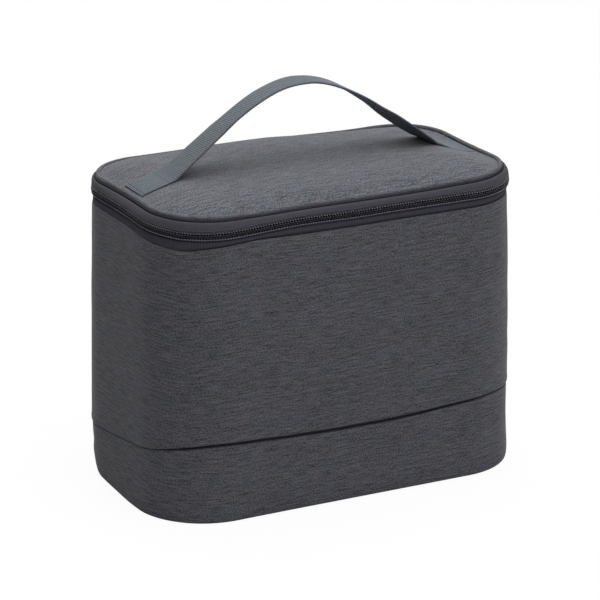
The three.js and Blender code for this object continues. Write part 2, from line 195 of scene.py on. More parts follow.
def outline(along):
    """The plan point and the outward direction at a distance along the bag's outline."""
    along %= outline_length
    run = max(i for i, start in enumerate(run_starts) if along >= start - 1e-12)
    rest = along - run_starts[run]
    if run in (0, 8):
        x = -rest if run == 0 else straight_x - rest
        return Vector((x, half_depth)), Vector((0, 1))
    if run == 2:
        return Vector((-half_width, straight_y - rest)), Vector((-1, 0))
    if run == 4:
        return Vector((rest - straight_x, -half_depth)), Vector((0, -1))
    if run == 6:
        return Vector((half_width, rest - straight_y)), Vector((1, 0))
    centre_x = straight_x if run in (5, 7) else -straight_x
    centre_y = straight_y if run in (1, 7) else -straight_y
    angle = math.pi / 2 * (1 + (run - 1) / 2) + rest / corner_radius
    outward = Vector((math.cos(angle), math.sin(angle)))
    return Vector((centre_x, centre_y)) + outward * corner_radius, outward


def smoothstep(value, low, high):
    share = min(max((value - low) / (high - low), 0), 1)
    return share * share * (3 - 2 * share)


def around(along, values):
    """A smooth closed curve through (place along the outline, value) pairs."""
    along %= outline_length
    laps = (-outline_length, 0, outline_length)
    points = [(place + lap, value) for lap in laps for place, value in sorted(values)]
    for before, start, end, after in zip(points, points[1:], points[2:], points[3:]):
        if start[0] <= along <= end[0]:
            run = end[0] - start[0]
            share = (along - start[0]) / run
            leaving = run * (end[1] - before[1]) / (end[0] - before[0])
            coming = run * (after[1] - start[1]) / (after[0] - start[0])
            eased = share * share * (3 - 2 * share)
            bend = leaving * share * (1 - share) ** 2 - coming * share * share * (1 - share)
            return start[1] + (end[1] - start[1]) * eased + bend


def places_along(start, end, step):
    count = max(round((end - start) / step), 1)
    return [start + (end - start) * i / count for i in range(count + 1)]


# How the soft bag departs from its plain outline, as curves around it

@cache
def seam_height(along):
    """Height of the seam between the walls and the lower band."""
    return MM * around(along, [
        (0, 34), (back_left_corner, 33.5),
        (left_middle - 21 * MM, 36.2), (left_middle, 38.2), (left_middle + 30 * MM, 41.4),
        (front_left_corner, 48.3), (front_left_corner + 20 * MM, 51.1), (front_left_corner + 45 * MM, 50.6),
        (front_middle - 45 * MM, 49.4), (front_middle, 48.5), (front_middle + 35 * MM, 48.8),
        (front_middle + 68 * MM, 50.4), (front_right_corner - 10 * MM, 51.7),
        (right_middle, 46), (back_right_corner, 38),
    ])


@cache
def slit_height(along):
    """The slit between the walls and the band: widest on the front, nearly shut on the left."""
    return MM * around(along, [
        (0, 0.7), (left_middle, 0.05), (front_left_corner - 25 * MM, 0.15),
        (front_left_corner - 10 * MM, 0.8), (front_left_corner + 8 * MM, 1.8),
        (front_middle - 55 * MM, 2.3), (front_middle, 2.5),
        (front_middle + 45 * MM, 2.3), (front_right_corner, 0.9), (right_middle, 0.5),
    ])


@cache
def seam_dip(along):
    """How far below its level line the walls' top seam runs."""
    return MM * around(along, [
        (left_middle, 0), (front_left_corner, 1.9), (front_left_corner + 17 * MM, 0),
        (front_middle - 70 * MM, -1.5), (front_middle - 40 * MM, 0.2), (front_middle, 0),
    ])


@cache
def zip_sag(along):
    """How far the coil hangs below its level line: a slow wave, and level where the sliders run."""
    return MM * around(along, [
        (0, 0), (back_left_corner, -0.6), (left_middle, -1.6), (front_left_corner - 14 * MM, 0.1),
        (front_left_corner, 1.0), (front_middle - 81 * MM, 0.9), (front_middle - 40 * MM, -0.6),
        (front_middle, 0.2), (front_middle + 25 * MM, 0.1), (front_right_corner, 0.7),
        (right_middle - 29 * MM, 0), (right_middle, 0), (right_middle + 29 * MM, 0),
        (back_right_corner, 0.8),
    ])


@cache
def rim_sag(along):
    """How far the lid's beaded rim hangs below its level line."""
    return MM * around(along, [
        (0, 0), (back_left_corner - 45 * MM, 0.1), (back_left_corner, -0.6), (left_middle, -1.4),
        (front_left_corner, -0.4), (front_middle - 60 * MM, 0.1), (front_middle - 30 * MM, -0.1),
        (front_middle + 40 * MM, 0.6), (front_right_corner, -0.5), (right_middle, 1.3),
        (back_right_corner, 1.7), (outline_length - 78 * MM, 3.1), (outline_length - 35 * MM, 1.9),
    ])


@cache
def rim_lean(along):
    """How far in the lid's rim stands from its level place."""
    return MM * around(along, [
        (0, 0), (back_left_corner, -1.4), (left_middle, 1.0), (front_left_corner, 0.5),
        (front_middle, -0.2), (right_middle, 0.4),
    ])


@cache
def foot_tuck(along):
    """How far the walls draw in at the foot."""
    return MM * around(along, [
        (0, 0), (back_left_corner, 4.8), (left_middle - 12 * MM, 1.2), (left_middle + 20 * MM, -1.2),
        (front_left_corner, -1.0), (front_left_corner + 40 * MM, 0), (front_middle, 0), (right_middle, 0),
    ])


@cache
def left_bulge(along):
    """The share of the left wall's low bulge at a place."""
    return around(along, [
        (0, 0), (back_left_corner, 1), (left_middle, 1), (front_left_corner, 0.4), (front_middle, 0),
    ])


@cache
def right_hollow(along):
    """The share of the right wall's high hollow at a place."""
    return around(along, [(0, 0), (front_middle, 0), (right_middle, 1), (back_right_corner, 0.7)])


def body_point(along, inset, z):
    """A point of the walls: the outline moved by the fabric's own softness."""
    place, outward = outline(along)
    spot = Vector((place.x, place.y, z))
    swell = 0.5 * noise.noise(spot * 22) + 0.22 * noise.noise(spot * 70 + Vector((7, 3, 1)))
    swell *= smoothstep(z, 0, 15 * MM) * (1 - smoothstep(z, zip_z - 12 * MM, zip_z - 4 * MM))
    bulge = 1.7 - 0.6 * smoothstep(z, 12 * MM, 44 * MM)
    swell += bulge * left_bulge(along) * (1 - smoothstep(z, 50 * MM, 120 * MM))
    hollow = 0.9 * smoothstep(z, 90 * MM, 125 * MM) * (1 - smoothstep(z, zip_z - 10 * MM, zip_z - 3 * MM))
    swell -= hollow * right_hollow(along)
    out = swell * MM - inset - foot_tuck(along) * max(1 - z / (42 * MM), 0) ** 1.6
    sag = zip_sag(along) * smoothstep(z, 120 * MM, zip_z)
    return Vector((*(place + outward * out), z - sag))


def lid_point(along, inset, z):
    """A point of the lid: it follows the coil at the zip and its own line at the rim."""
    place, outward = outline(along)
    rise = smoothstep(z, zip_z + 3 * MM, zip_z + 8 * MM)
    out = -inset - rim_lean(along) * rise
    return Vector((*(place + outward * out), z - zip_sag(along) * (1 - rise) - rim_sag(along) * rise))


def hinge_point(along, inset, z):
    return (body_point if z < zip_z else lid_point)(along, inset, z)


def crinkled_point(along, inset, z):
    """A point of the walls' foil, pushed about by the creases of a thin film."""
    place = body_point(along, inset, z)
    crease = 1 - 2 * abs(noise.noise(place * 60)) + 0.5 * (1 - 2 * abs(noise.noise(place * 138)))
    return place - outline(along)[1].to_3d() * 0.5 * MM * crease


# Building blocks for meshes

def finish_mesh(name, mesh, material):
    """Turns a bmesh into an object at the origin."""
    data = bpy.data.meshes.new(name)
    mesh.to_mesh(data)
    mesh.free()
    piece = bpy.data.objects.new(name, data)
    bpy.context.scene.collection.objects.link(piece)
    data.shade_smooth()
    data.materials.append(material)
    return piece


def finish_shell(name, mesh, material):
    """Turns a closed bmesh into an object, with its faces outwards."""
    bmesh.ops.recalc_face_normals(mesh, faces=mesh.faces)
    return finish_mesh(name, mesh, material)


def clothed(piece, body, slot, *nodes):
    """Puts a finished piece on its body, in the place of the frame's nodes if it stands for any."""
    if nodes:
        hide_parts(*nodes)
    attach(piece, body)
    return piece


def smooth_path(points, closed=False, steps=4):
    """A Catmull-Rom curve through points in a plane."""
    ends = [points[-1], *points, *points[:2]] if closed else [points[0], *points, points[-1]]
    path = []
    for before, start, end, after in zip(ends, ends[1:], ends[2:], ends[3:]):
        for step in range(steps):
            t = step / steps
            path.append(tuple(
                0.5 * (
                    2 * b + (c - a) * t + (2 * a - 5 * b + 4 * c - d) * t * t
                    + (3 * b - a - 3 * c + d) * t ** 3
                )
                for a, b, c, d in zip(before, start, end, after)
            ))
    return path if closed else path + [points[-1]]


def lengths_along(points):
    """The distance from a path's start to each of its points."""
    return [0, *accumulate(math.dist(point, after) for point, after in zip(points, points[1:]))]


def bent_grid(mesh, columns, rows, place_of, uv_of=None):
    """Adds a grid, with the vertex in column i and row j at place_of(i, j), and welds what meets."""
    uv = mesh.loops.layers.uv.get("UVMap") or mesh.loops.layers.uv.new("UVMap")
    grid = bmesh.ops.create_grid(mesh, x_segments=columns, y_segments=rows, size=0.5)
    for vertex in grid["verts"]:
        i = round((vertex.co.x + 0.5) * columns)
        j = round((vertex.co.y + 0.5) * rows)
        vertex.co = place_of(i, j)
        if uv_of:
            for loop in vertex.link_loops:
                loop[uv].uv = uv_of(i, j)
    bmesh.ops.remove_doubles(mesh, verts=mesh.verts, dist=1e-6)
    return uv


def open_edges(mesh):
    return [edge for edge in mesh.edges if edge.is_boundary]


def swept(name, places, profile, point, material, ring=True):
    """Sweeps a closed profile along the outline: a list of (inset, z) points, or a function giving it."""
    paths = [profile(place) if callable(profile) else profile for place in places]
    paths = [path + path[:1] for path in paths]
    lengths = [lengths_along(path) for path in paths]
    mesh = bmesh.new()
    bent_grid(
        mesh, len(places) - 1, len(paths[0]) - 1,
        lambda i, j: point(places[i], *paths[i][j]),
        lambda i, j: (places[i], lengths[i][j]),
    )
    if not ring:
        bmesh.ops.holes_fill(mesh, edges=open_edges(mesh))
    return finish_shell(name, mesh, material)


def sheet_of(path, thickness):
    """A closed profile: a path, and its other side, to the right of the way the path runs."""
    other = []
    for i, (inset, z) in enumerate(path):
        before = path[max(i - 1, 0)]
        after = path[min(i + 1, len(path) - 1)]
        length = math.dist(before, after)
        over, up = (after[0] - before[0]) / length, (after[1] - before[1]) / length
        other.append((inset + thickness * up, z - thickness * over))
    return path + other[::-1]


def points_from(height, *points):
    """Profile points in metres, from millimetres: each is its inset and its rise above a height."""
    return [(inset * MM, height + rise * MM) for inset, rise in points]


def zip_sheet(thickness, *points):
    """A sheet's profile, smooth through points measured from the zip, in millimetres."""
    return sheet_of(smooth_path(points_from(zip_z, *points)), thickness * MM)


def circle(radius, count):
    turns = [2 * math.pi * i / count for i in range(count)]
    return [(radius * math.cos(turn), radius * math.sin(turn)) for turn in turns]


def round_profile(inset, height, radius):
    """A round cord's section on the rim, measured from the zip, in millimetres."""
    return points_from(zip_z, *((inset + u, height + v) for u, v in circle(radius, 16)))


def studs(name, material, template, places):
    """Copies of a small mesh, one for each matrix."""
    mesh = bmesh.new()
    for place in places:
        count = len(mesh.verts)
        mesh.from_mesh(template)
        mesh.verts.ensure_lookup_table()
        bmesh.ops.transform(mesh, matrix=place, verts=mesh.verts[count:])
    return finish_mesh(name, mesh, material)


def bead_template(name, lumps, sides, rings):
    """A small mesh of ellipsoids: each is (centre, half sizes) in millimetres."""
    mesh = bmesh.new()
    for centre, halves in lumps:
        size = Matrix.Diagonal((*(half * MM for half in halves), 1))
        place = Matrix.Translation(Vector(centre) * MM) @ size
        bmesh.ops.create_uvsphere(mesh, u_segments=sides, v_segments=rings, radius=1, matrix=place)
    data = bpy.data.meshes.new(name)
    mesh.to_mesh(data)
    mesh.free()
    return data


# Building blocks for materials

def new_material(name, roughness, sheen=0.0, metallic=0.0):
    material = bpy.data.materials.new(name)
    material.use_nodes = True
    nodes, links = material.node_tree.nodes, material.node_tree.links
    shader = nodes["Principled BSDF"]
    shader.inputs["Roughness"].default_value = roughness
    shader.inputs["Metallic"].default_value = metallic
    shader.inputs["Sheen Weight"].default_value = sheen
    shader.inputs["Sheen Roughness"].default_value = 0.45
    return material, nodes, links, shader


def new_group(name, inputs, outputs):
    """A shader node group: a Vector and named numbers in, named numbers out."""
    tree = bpy.data.node_groups.new(name, "ShaderNodeTree")
    tree.interface.new_socket("Vector", in_out="INPUT", socket_type="NodeSocketVector")
    for way, labels in (("INPUT", inputs), ("OUTPUT", outputs)):
        for label in labels:
            tree.interface.new_socket(label, in_out=way, socket_type="NodeSocketFloat")
    return tree, tree.nodes.new("NodeGroupInput").outputs, tree.nodes.new("NodeGroupOutput").inputs


def math_node(tree, operation, *values):
    """A Math node's output. Each value is a number or another node's output."""
    node = tree.nodes.new("ShaderNodeMath")
    node.operation = operation
    for socket, value in zip(node.inputs, values):
        if isinstance(value, bpy.types.NodeSocket):
            tree.links.new(value, socket)
        else:
            socket.default_value = value
    return node.outputs[0]


def stretched_noise(tree, vector, per_metre, detail=1, roughness=0.5):
    """A noise with a stretched grain: per_metre is its grains per metre along U and V."""
    mapping = tree.nodes.new("ShaderNodeMapping")
    mapping.inputs["Scale"].default_value = (*per_metre, 1)
    tree.links.new(vector, mapping.inputs["Vector"])
    grain = tree.nodes.new("ShaderNodeTexNoise")
    grain.inputs["Scale"].default_value = 1
    grain.inputs["Detail"].default_value = detail
    grain.inputs["Roughness"].default_value = roughness
    tree.links.new(mapping.outputs[0], grain.inputs["Vector"])
    return grain.outputs["Fac"]


def split_vector(tree, vector):
    separate = tree.nodes.new("ShaderNodeSeparateXYZ")
    tree.links.new(vector, separate.inputs[0])
    return separate.outputs


def make_heather_group():
    """A two-tone yarn's melange: fine grain, level streaks, soft patches, and the relief of the weave."""
    tree, start, end = new_group("heather_yarn", [], ["Tone", "Tint", "Relief"])
    vector = start["Vector"]
    layers = [
        (stretched_noise(tree, vector, per_metre), share)
        for per_metre, share in (
            ((1190, 1190), 2.4), ((475, 1100), 0.5), ((105, 1000), 1.3),
            ((16, 1000), 0.55), ((25, 60), 0.2),
        )
    ]
    tone = 0.5 - sum(share for layer, share in layers) / 2
    for layer, share in layers:
        tone = math_node(tree, "MULTIPLY_ADD", layer, share, tone)
    tree.links.new(tone, end["Tone"])
    tree.links.new(stretched_noise(tree, vector, (90, 95)), end["Tint"])
    thread_turns = 2 * math.pi / (0.55 * MM)
    axes = split_vector(tree, vector)
    across = math_node(tree, "SINE", math_node(tree, "MULTIPLY", axes["X"], thread_turns))
    up = math_node(tree, "SINE", math_node(tree, "MULTIPLY", axes["Y"], thread_turns))
    weave = math_node(tree, "MULTIPLY", across, up)
    finest_grain = layers[0][0]
    tree.links.new(math_node(tree, "MULTIPLY_ADD", weave, 0.25, finest_grain), end["Relief"])
    return tree


def make_thread_group():
    """Ribbed threads, as on tape and webbing: their tone, with painted shade in the furrows and painted
    light on the ribs, and the ribs' relief.
    """
    tree, start, end = new_group("ribbed_thread", ["Rib Pitch", "Yarn Pitch"], ["Tone", "Relief"])
    axes = split_vector(tree, start["Vector"])
    turns = []
    for axis, pitch in (("X", "Rib Pitch"), ("Y", "Yarn Pitch")):
        share = math_node(tree, "DIVIDE", axes[axis], start[pitch])
        turns.append(math_node(tree, "SINE", math_node(tree, "MULTIPLY", share, 2 * math.pi)))
    ribs = math_node(tree, "MULTIPLY_ADD", turns[0], 0.5, 0.5)
    yarns = math_node(tree, "MULTIPLY_ADD", turns[1], 0.25, ribs)
    wear = stretched_noise(tree, start["Vector"], (180, 900), detail=3, roughness=0.6)
    # The tone follows the ribs: painted shade in the furrows, painted light on the ribs.
    tone = math_node(tree, "MULTIPLY_ADD", wear, 0.7, math_node(tree, "MULTIPLY", yarns, 0.55))
    tree.links.new(tone, end["Tone"])
    tree.links.new(yarns, end["Relief"])
    return tree


def ramp_of(nodes, stops):
    ramp = nodes.new("ShaderNodeValToRGB")
    for element, (place, colour) in zip(ramp.color_ramp.elements, stops):
        element.position = place
        element.color = (*colour, 1)
    return ramp


def bump(nodes, links, shader, height, strength, distance):
    node = nodes.new("ShaderNodeBump")
    node.inputs["Strength"].default_value = strength
    node.inputs["Distance"].default_value = distance
    links.new(height, node.inputs["Height"])
    links.new(node.outputs[0], shader.inputs["Normal"])


def heather_fabric(name, dark, light, warm, cool, stretch=(1, 1)):
    """Two-tone cloth: a dark and a light yarn, with slightly warmer and cooler patches."""
    material, nodes, links, shader = new_material(name, roughness=0.92, sheen=0.1)
    yarn = nodes.new("ShaderNodeGroup")
    yarn.node_tree = heather_group
    mapping = nodes.new("ShaderNodeMapping")
    mapping.inputs["Scale"].default_value = (*stretch, 1)
    links.new(nodes.new("ShaderNodeUVMap").outputs["UV"], mapping.inputs["Vector"])
    links.new(mapping.outputs[0], yarn.inputs["Vector"])
    ramp = ramp_of(nodes, [(0.0, dark), (1.0, light)])
    links.new(yarn.outputs["Tone"], ramp.inputs["Fac"])
    tint = ramp_of(nodes, [(0.35, warm), (0.65, cool)])
    links.new(yarn.outputs["Tint"], tint.inputs["Fac"])
    mix = nodes.new("ShaderNodeMix")
    mix.data_type = "RGBA"
    mix.blend_type = "MULTIPLY"
    mix.inputs["Factor"].default_value = 1
    links.new(ramp.outputs["Color"], mix.inputs["A"])
    links.new(tint.outputs["Color"], mix.inputs["B"])
    links.new(mix.outputs["Result"], shader.inputs["Base Color"])
    bump(nodes, links, shader, yarn.outputs["Relief"], 0.2, 0.15 * MM)
    return material


def thread_fabric(
    name, dark, light, rib_pitch=0.9 * MM, yarn_pitch=0.75 * MM,
    roughness=0.85, sheen=0.0, relief=0.05 * MM, gloss=0.15,
):
    """Ribbed cloth of one thread, with painted shade in its furrows and painted light on its ribs."""
    material, nodes, links, shader = new_material(name, roughness, sheen)
    shader.inputs["Specular IOR Level"].default_value = gloss
    thread = nodes.new("ShaderNodeGroup")
    thread.node_tree = thread_group
    thread.inputs["Rib Pitch"].default_value = rib_pitch
    thread.inputs["Yarn Pitch"].default_value = yarn_pitch
    links.new(nodes.new("ShaderNodeUVMap").outputs["UV"], thread.inputs["Vector"])
    ramp = ramp_of(nodes, [(0.25, dark), (0.75, light)])
    links.new(thread.outputs["Tone"], ramp.inputs["Fac"])
    links.new(ramp.outputs["Color"], shader.inputs["Base Color"])
    bump(nodes, links, shader, thread.outputs["Relief"], 0.5, relief)
    return material


def plain_finish(
    name, colour, roughness, metallic=0.0, grain=300, relief=0.02 * MM, spread=0.15, gloss=0.5,
):
    """A moulded or cast surface with a faint mottle, read from Object coordinates."""
    material, nodes, links, shader = new_material(name, roughness, metallic=metallic)
    shader.inputs["Specular IOR Level"].default_value = gloss
    mottle = nodes.new("ShaderNodeTexNoise")
    mottle.inputs["Scale"].default_value = grain
    mottle.inputs["Detail"].default_value = 4
    links.new(nodes.new("ShaderNodeTexCoord").outputs["Object"], mottle.inputs["Vector"])
    low = [channel * (1 - spread) for channel in colour]
    high = [min(channel * (1 + spread), 1) for channel in colour]
    ramp = ramp_of(nodes, [(0.3, low), (0.7, high)])
    links.new(mottle.outputs["Fac"], ramp.inputs["Fac"])
    links.new(ramp.outputs["Color"], shader.inputs["Base Color"])
    bump(nodes, links, shader, mottle.outputs["Fac"], 0.4, relief)
    return material


webbing_rib = 1.38 * MM
webbing_yarn = 1.9 * MM
heather_group = make_heather_group()
thread_group = make_thread_group()
body_fabric = heather_fabric(
    "heather_fabric", (0.019, 0.0194, 0.0232), (0.117, 0.1175, 0.134),
    (1.045, 0.98, 0.993), (0.955, 1.005, 1.05),
)
# The same heather as the walls, painted lighter on the lid: painted light, a lit copy of the walls' cloth.
lid_fabric_painted_light = heather_fabric(
    "lid_heather_fabric_painted_light", (0.0284, 0.0298, 0.035), (0.1355, 0.14, 0.1615),
    (1.025, 0.988, 0.993), (0.97, 1.007, 1.04), stretch=(1, 0.6),
)
# The upper tape is painted far darker than the lower tape, the same cloth: its dark colour and painted shade
# around and behind the coil's teeth.
tape_cloth_and_shade = thread_fabric("zip_tape_cloth_and_shade", (0.0045, 0.0042, 0.0058), (0.013, 0.012, 0.0165))
lower_tape_cloth = thread_fabric("lower_tape_cloth", (0.021, 0.0198, 0.0262), (0.061, 0.0575, 0.0755))
band_cloth = thread_fabric("band_cloth", (0.034, 0.033, 0.04), (0.065, 0.063, 0.0765), sheen=0.05)
# A dark seam thread, which also stands in as painted shade for the crevice between the lid's band and its
# bead.
seam_thread_and_shade = thread_fabric(
    "seam_thread_and_shade", (0.009, 0.009, 0.0125), (0.034, 0.034, 0.046), 1.2 * MM, 0.5 * MM, relief=0.1 * MM,
)
webbing = thread_fabric(
    "webbing_cloth", (0.0108, 0.0168, 0.0216), (0.094, 0.117, 0.136), webbing_rib, webbing_yarn,
    roughness=0.8, sheen=0.15, relief=0.12 * MM, gloss=0.5,
)
coil_nylon = plain_finish("coil_nylon", (0.0035, 0.0032, 0.0045), 0.5, gloss=0.22)
# Thread for the stitches, also used for the pale beads painted on the coil as glints.
stitch_thread_and_glints = plain_finish("stitch_thread_and_glints", (0.3, 0.28, 0.32), 0.8, grain=2500, spread=0.4)
dark_thread = plain_finish("dark_thread", (0.07, 0.088, 0.1), 0.8, grain=2500, spread=0.4)
foil_film = plain_finish("foil_film", (0.4, 0.41, 0.425), 0.48, metallic=0.6, grain=120, relief=0.5 * MM)
white_foam = plain_finish("white_foam", (0.8, 0.8, 0.77), 0.85, grain=900, relief=0.1 * MM)
grey_board = plain_finish("grey_board", (0.25, 0.25, 0.24), 0.6)
gunmetal = plain_finish("gunmetal", (0.06, 0.06, 0.065), 0.3, metallic=0.9, grain=500)


# Profiles of the pieces that run around the bag

def shell_profile(along):
    """The walls' cloth, from the turned-in top seam to the lower edge, and back up inside."""
    seam = seam_height(along)
    top = shell_top_z - seam_dip(along)
    middle = (seam + top) / 2
    flare = around(along, [
        (0, 0.2), (left_middle, 0.35), (front_left_corner, 0.15), (front_middle, 0), (right_middle, 0.2),
    ])
    outer = [
        *points_from(
            top, (3.2, -3), (2.9, -1.2), (2.3, -0.3), (1.7, -0.2), (1.2, -0.8), (0.95, -2.4), (0.65, -8),
            (0.25, -20), (-0.1, -40),
        ),
        *points_from(middle, (-0.25, 0)),
        *points_from(
            seam, (-0.15, 24), (-0.1, 7), (-0.2 - flare * 0.7, 2.2), (0.05 - flare, 0.6), (0.6 - flare, 0),
            (1.3, 0.3), (1.9, 1.6),
        ),
    ]
    return [
        *smooth_path(outer),
        *points_from(seam, (1.9, 4), (1.5, 9)),
        *points_from(middle, (1.3, 0)),
        *points_from(top, (1.9, -10), (3.4, -4.5)),
    ]


def band_profile(along):
    """The lower band's cloth, from under the bag round its edge to the slit, and back down inside."""
    seam = seam_height(along)
    low = 0.1 * MM
    snug = around(along, [
        (0, 0), (left_middle, 0.35), (front_left_corner, 0.1), (front_middle, 0), (right_middle, 0.2),
    ])
    outer = [
        *points_from(
            low, (8.4, 0), (3.0, 0), (1.2, 0.05), (0.35, 0.4),
            (-0.3, 1.3), (-0.7, 3.4), (-0.85, 8), (-0.5, 16),
        ),
        *points_from((low + seam) / 2, (0.2, 4)),
        *points_from(seam, (0.45 - snug, -7)),
        *points_from(
            seam - slit_height(along), (0.5 - snug, -1.4), (0.8 - snug, -0.35),
            (1.6, 0), (2.6, -0.3), (3.6, -0.2),
        ),
        *points_from(seam, (3.9, 1.5), (3.9, 4)),
    ]
    return [
        *smooth_path(outer),
        *points_from(seam, (4.5, 4), (4.5, -3), (2.2, -8)),
        *points_from(0, (1.6, 12), (2.6, 4.6), (5.2, 1.9), (8.4, 1.2)),
    ]


def slit_shade_tape_profile(along):
    """A dark tape along the band's upper edge, at the bottom of the slit: a dark sheet painted in as the
    shade inside the slit.
    """
    edge = seam_height(along) - slit_height(along)
    path = points_from(edge, (1.45, 0), (2.0, 0.3), (2.8, 0.25), (3.3, 0.6), (3.45, 2.2), (3.45, 4.5))
    return sheet_of(smooth_path(path), 0.25 * MM)


def tape_body_profile(along):
    """The tape below the coil: flush with the walls' top seam on the left, and tucked behind it in front."""
    dip = seam_dip(along) / MM
    flush = around(along, [
        (0, 0.6), (back_left_corner, 1.0), (left_middle, 1.1), (front_left_corner - 8 * MM, 0.9),
        (front_left_corner + 14 * MM, 0), (front_middle, 0), (front_right_corner, 0), (right_middle, 0),
        (back_right_corner, 0.4),
    ])
    return zip_sheet(
        -0.5, (2.6, -0.35), (2.3, -1.1), (1.2, -1.7), (0.95, -2.3), (1.5, -2.8), (2.7, -3.2), (1.8, -4.0),
        (1.7 - flush / 4, -6.2 - dip / 2), (2.9 - flush, -8.1 - dip), (3.2, -10.5 - dip),
    )


def lid_band_profile(along):
    """The dark band above the zip. Its edge comes down over the tape, but not where the sliders run."""
    skirt = around(along, [
        (0, 0.9), (front_middle, 0.9), (front_right_corner, 0.9), (right_middle - 30 * MM, 0),
        (right_middle, 0), (right_middle + 30 * MM, 0), (back_right_corner, 0.9),
    ])
    return zip_sheet(
        0.6, (2.0, 3.7 - skirt), (1.0 - skirt / 6, 4.2 - skirt), (1.05 - skirt / 6, 4.9 - skirt / 2),
        (1.45, 5.75), (2.1, 6.6), (2.9, 7.05), (3.6, 6.5), (3.9, 5.6),
    )


foam_profile = [
    *points_from(0, (3.4, 9.4), (3.2, 22), (4.9, 30), (4.9, 57), (2.6, 66), (2.2, 100)),
    *points_from(zip_z, (2.6, -28), (4.1, -12.5), (4.1, -9.5), (8.6, -9.5)),
    *points_from(0, (8.6, 9.4)),
]
foil_heights = places_along(zip_z - 9.5 * MM, 11 * MM, -4.05 * MM)
wall_liner_profile = [(9.2 * MM, z) for z in foil_heights] + [(9.9 * MM, z) for z in foil_heights[::-1]]
mouth_binding_profile = zip_sheet(
    0.8, (4.1, -9.3), (4.1, -8.2), (4.8, -7.2), (7.4, -6.9), (9.9, -7.3), (10.9, -8.6), (11.1, -12),
    (10.9, -17.5),
)
tape_lid_profile = zip_sheet(
    0.45, (2.6, 0.35), (2.3, 1.0), (1.1, 1.6), (0.75, 2.4), (1.15, 3.4), (1.6, 4.5), (2.1, 5.2),
)
lid_binding_profile = zip_sheet(
    -0.7, (4.7, 6.2), (4.75, 4.0), (5.1, 2.0), (6.2, 0.7), (7.8, 0.5), (9.2, 0.9), (10.4, 1.7),
)
bead_profile = round_profile(5.75, 8.6, 1.4)
# A dark cord in the crevice between the band and the bead: the seam's dark stitches, and painted shade for
# the crevice.
seam_cord_and_shade_profile = round_profile(4.35, 7.35, 0.8)
hinge_profile = zip_sheet(
    0.5, (3.2, -10.5), (2.8, -8.1), (2.0, -6.2), (1.75, -3.5), (1.7, -1.2),
    (1.7, 0), (1.7, 1.2), (1.75, 3.0), (2.1, 5.2),
)

# Walls, band, tapes and rim
zip_end = 75 * MM
whole_outline = places_along(0, outline_length, 3.6 * MM)
zip_run = places_along(zip_end, outline_length - zip_end, 3 * MM)
hinge_run = places_along(0.3 * MM - zip_end, zip_end - 0.3 * MM, 6 * MM)
heather, trim = "heather_fabric", "trim_fabric"
for name, profile, point, material, body, slot, *nodes in (
    ("upper_shell_fabric", shell_profile, body_point, body_fabric, "bag", heather, "upper_shell"),
    ("lower_band_fabric", band_profile, body_point, body_fabric, "bag", heather, "lower_band"),
    # A dark tape painted in as the shade inside the slit between the walls and the band.
    ("seam_binding_tape", slit_shade_tape_profile, body_point, lower_tape_cloth, "bag", trim),
    ("wall_foam_layer", foam_profile, body_point, white_foam, "bag", "foam", "wall_foam"),
    ("wall_liner_foil", wall_liner_profile, crinkled_point, foil_film, "bag", "liner", "wall_liner"),
    ("mouth_binding_tape", mouth_binding_profile, body_point, band_cloth, "bag", trim, "mouth_binding"),
    ("zip_tape_below", tape_body_profile, body_point, lower_tape_cloth, "bag", "zip_tape", "zip_tape_body"),
    ("zip_tape_above", tape_lid_profile, lid_point, tape_cloth_and_shade, "lid", "zip_tape", "zip_tape_lid"),
    ("lid_band_cloth", lid_band_profile, lid_point, band_cloth, "lid", trim, "lid_band"),
    ("lid_edge_piping", bead_profile, lid_point, body_fabric, "lid", heather, "lid_edge_bead"),
    # The seam cord: dark stitches and painted shade in the crevice under the bead.
    ("lid_edge_seam_cord", seam_cord_and_shade_profile, lid_point, seam_thread_and_shade, "lid", trim, "lid_edge_bead"),
    ("lid_binding_tape", lid_binding_profile, lid_point, band_cloth, "lid", trim, "lid_binding"),
):
    ring = slot != "zip_tape"
    piece = swept(name, whole_outline if ring else zip_run, profile, point, material, ring)
    clothed(piece, body, slot, *nodes)

hinge = swept("hinge_cloth", hinge_run, hinge_profile, hinge_point, band_cloth, ring=False)
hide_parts("hinge_fabric_body", "hinge_fabric_lid")
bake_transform(hinge)

# The zip's coil: interlocking turns with sewing thread over them, and pale beads painted on the teeth as
# their glints
tooth_pitch = 1.79 * MM
tooth_count = round((outline_length - 2 * zip_end - 1 * MM) / tooth_pitch)
first_tooth = (outline_length - tooth_count * tooth_pitch) / 2
coil_inset = 0.95 * MM
coil_lean = 0.12


def seat(point, along):
    """A matrix at a place of the coil: X along the outline, Y outwards, Z up."""
    outward = outline(along)[1]
    turn = math.atan2(outward.y, outward.x) - math.pi / 2
    place = Matrix.Translation(point(along, coil_inset, zip_z))
    return place @ Matrix.Rotation(turn, 4, "Z") @ Matrix.Rotation(coil_lean, 4, "Y")


def make_zip(side, point, body, node, label, stitches_and_glints):
    """One half of the coil, with its stitches and pale beads painted on as the teeth's glints; side is 1 for
    the lid's half and -1 for the body's.
    """
    tooth = bead_template(f"tooth_{label}", [
        ((0, 0, 0.8 * side), (0.34, 0.5, 0.95)),
        ((0, 0.15, 0.05 * side), (0.48, 0.55, 0.42)),
    ], sides=8, rings=6)
    stitch = bead_template(f"stitch_{label}", stitches_and_glints, sides=6, rings=5)
    offset = 0 if side > 0 else tooth_pitch / 2
    seats = [seat(point, first_tooth + offset + i * tooth_pitch) for i in range(tooth_count)]
    clothed(studs(f"zip_coil_{label}", coil_nylon, tooth, seats), body, "zip_coil", node)
    clothed(studs(f"zip_stitches_and_glints_{label}", stitch_thread_and_glints, stitch, seats), body, "zip_tape")


